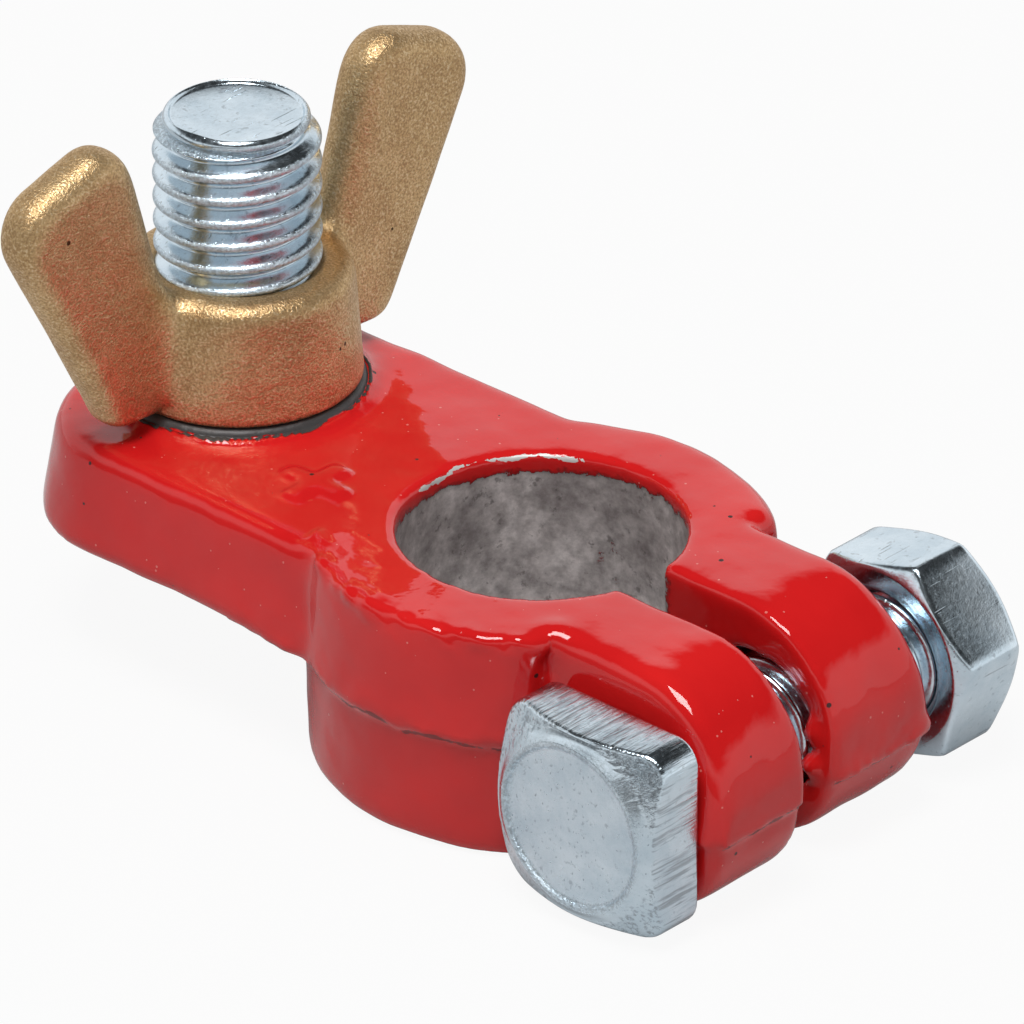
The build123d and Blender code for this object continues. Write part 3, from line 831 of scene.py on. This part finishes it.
def nut_rows():
    """The bore, near face, near chamfer, flats, far chamfer and far face, as radius and height."""
    angle = np.linspace(0, 2 * math.pi, NUT_COLUMNS, endpoint=False)
    hexagon = hexagon_radius(angle - math.pi / 6, NUT_ACROSS)
    soft = hexagon - 0.10 * MM * bell(hexagon - NUT_ACROSS / math.sqrt(3), 0.12 * MM)
    drop = np.clip(soft - NUT_FACE_RADIUS, 0.02 * MM, None) * CHAMFER_SLOPE
    mouth = NUT_BORE + NUT_COUNTERSINK
    middle = (NUT_NEAR + NUT_FAR) / 2
    corners = profile([
        (NUT_BORE, middle), (NUT_BORE, NUT_NEAR + NUT_COUNTERSINK), (mouth, NUT_NEAR),
        (NUT_FACE_RADIUS, NUT_NEAR), (soft, NUT_NEAR + drop), (soft, NUT_FAR - drop),
        (NUT_FACE_RADIUS, NUT_FAR), (mouth, NUT_FAR), (NUT_BORE, NUT_FAR - NUT_COUNTERSINK),
        (NUT_BORE, middle)], np.ones_like(angle))
    rows = softened(corners, 3 * [NUT_SOFT_EDGE] + 2 * [NUT_SOFT_CHAMFER] + 3 * [NUT_SOFT_EDGE])[:-1]
    return rows[..., 0], rows[..., 1], angle


radius, height, angle = nut_rows()
to_corner = (math.cos(NUT_TURN), 0, math.sin(NUT_TURN))
nut = skin("hexagon_nut", placed(radius, height, angle, BOLT_AXIS, to_corner, (0, 1, 0)), ring=True)
nut.data.materials.append(zinc_plate("nut_zinc"))
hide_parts("hex_nut")
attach(nut, "nut")


# --- studio ------------------------------------------------------------------------------------
# A pale table with one softbox overhead. The walls of the room are white, its ceiling is dim, and
# it is open at the front, so the metal mirrors a dark band there over the edge of the table.

FLOOR_SIZE = 4.0                     # metres
FLOOR_HEIGHT = -0.02 * MM            # just clear of the casting's foot
FLOOR_GREY = (0.50, 0.50, 0.50, 1)
WHITE_TO_CAMERA, WHITE_IN_MIRRORS = 0.93, 0.15           # shares of plain white in the floor
WALL_WHITE, CEILING_DIM = 1.18, 0.04
OPENING_DARK = 0.85                  # share of the wall's brightness that the opening takes away
ROOM_LIGHT = 0.45
AIM = Vector((-1.51 * MM, -0.93 * MM, 15.23 * MM))
VIEW_AZIMUTH = math.radians(42.75)
VIEW_ELEVATION = math.radians(28.9)
VIEW_DISTANCE = 698.7 * MM
VIEW_LENS = 423.4
SOFTBOX_WAY = Vector((0.10, -0.25, 0.96))
SOFTBOX_DISTANCE = 1.3               # metres
SOFTBOX_SIZE = 0.55                  # metres
SOFTBOX_POWER = 14.0                 # watts


def flat_square(name, size, height):
    """One level square face with its middle over the origin."""
    half = size / 2
    corners = [(-half, -half, height), (half, -half, height), (half, half, height), (-half, half, height)]
    mesh = bpy.data.meshes.new(name)
    mesh.from_pydata(corners, [], [(0, 1, 2, 3)])
    piece = bpy.data.objects.new(name, mesh)
    bpy.context.scene.collection.objects.link(piece)
    return piece


def pale_floor():
    """Matt and pale, and mostly plain white to whoever looks at it, which keeps shadows faint."""
    material, tree, shader, _ = new_material("pale_floor")
    shader.inputs["Base Color"].default_value = FLOOR_GREY
    shader.inputs["Roughness"].default_value = 1.0
    white = node(tree, "Emission", Strength=1.0)
    path = node(tree, "LightPath").outputs
    share = greater(tree, times(tree, path["Is Camera Ray"], WHITE_TO_CAMERA),
                    times(tree, path["Is Glossy Ray"], WHITE_IN_MIRRORS))
    mix = node(tree, "MixShader", Fac=share, _1=shader.outputs["BSDF"], _2=white.outputs["Emission"])
    tree.links.new(mix.outputs["Shader"], tree.nodes["Material Output"].inputs["Surface"])
    return material


def room_strength(tree):
    """Brightness of the room by direction: white walls, a dim ceiling and the dark opening in front.

    Mirrors see all of that, the camera sees plain white, and what falls on the object is even.
    """
    way = node(tree, "SeparateXYZ", Vector=node(tree, "TexCoord").outputs["Generated"]).outputs
    rise = plus(tree, way["Z"], times(tree, way["X"], 0.15))
    walls = ramp(tree, rise, 0.46, 0.58, WALL_WHITE, CEILING_DIM)
    front = ramp(tree, way["Y"], -0.70, -0.30, OPENING_DARK, 0.0)
    opening = times(tree, front, ramp(tree, way["Z"], 0.22, 0.36, 1.0, 0.0))
    path = node(tree, "LightPath").outputs
    in_mirror = times(tree, path["Is Glossy Ray"], times(tree, walls, minus(tree, 1.0, opening)))
    looked_at = greater(tree, path["Is Camera Ray"], in_mirror)
    lighting = minus(tree, 1.0, greater(tree, path["Is Camera Ray"], path["Is Glossy Ray"]))
    return plus(tree, looked_at, times(tree, lighting, ROOM_LIGHT))


floor = flat_square("floor", FLOOR_SIZE, FLOOR_HEIGHT)
floor.data.materials.append(pale_floor())

world = bpy.data.worlds.new("studio")
bpy.context.scene.world = world
world.use_nodes = True
world.node_tree.nodes.clear()
background = node(world.node_tree, "Background", Strength=room_strength(world.node_tree))
node(world.node_tree, "OutputWorld", Surface=background.outputs["Background"])

softbox = bpy.data.objects.new("softbox", bpy.data.lights.new("softbox", "AREA"))
bpy.context.scene.collection.objects.link(softbox)
softbox.location = SOFTBOX_WAY.normalized() * SOFTBOX_DISTANCE
softbox.rotation_euler = SOFTBOX_WAY.to_track_quat("Z", "Y").to_euler()
softbox.data.size = SOFTBOX_SIZE
softbox.data.energy = SOFTBOX_POWER

camera = bpy.data.objects.new("camera", bpy.data.cameras.new("camera"))
bpy.context.scene.collection.objects.link(camera)
back = Vector((math.sin(VIEW_AZIMUTH) * math.cos(VIEW_ELEVATION),
               -math.cos(VIEW_AZIMUTH) * math.cos(VIEW_ELEVATION), math.sin(VIEW_ELEVATION)))
camera.location = AIM + back * VIEW_DISTANCE
camera.rotation_euler = (-back).to_track_quat("-Z", "Y").to_euler()
camera.data.lens = VIEW_LENS
camera.data.clip_end = 20
bpy.context.scene.camera = camera
bpy.context.scene.view_settings.view_transform = "Standard"
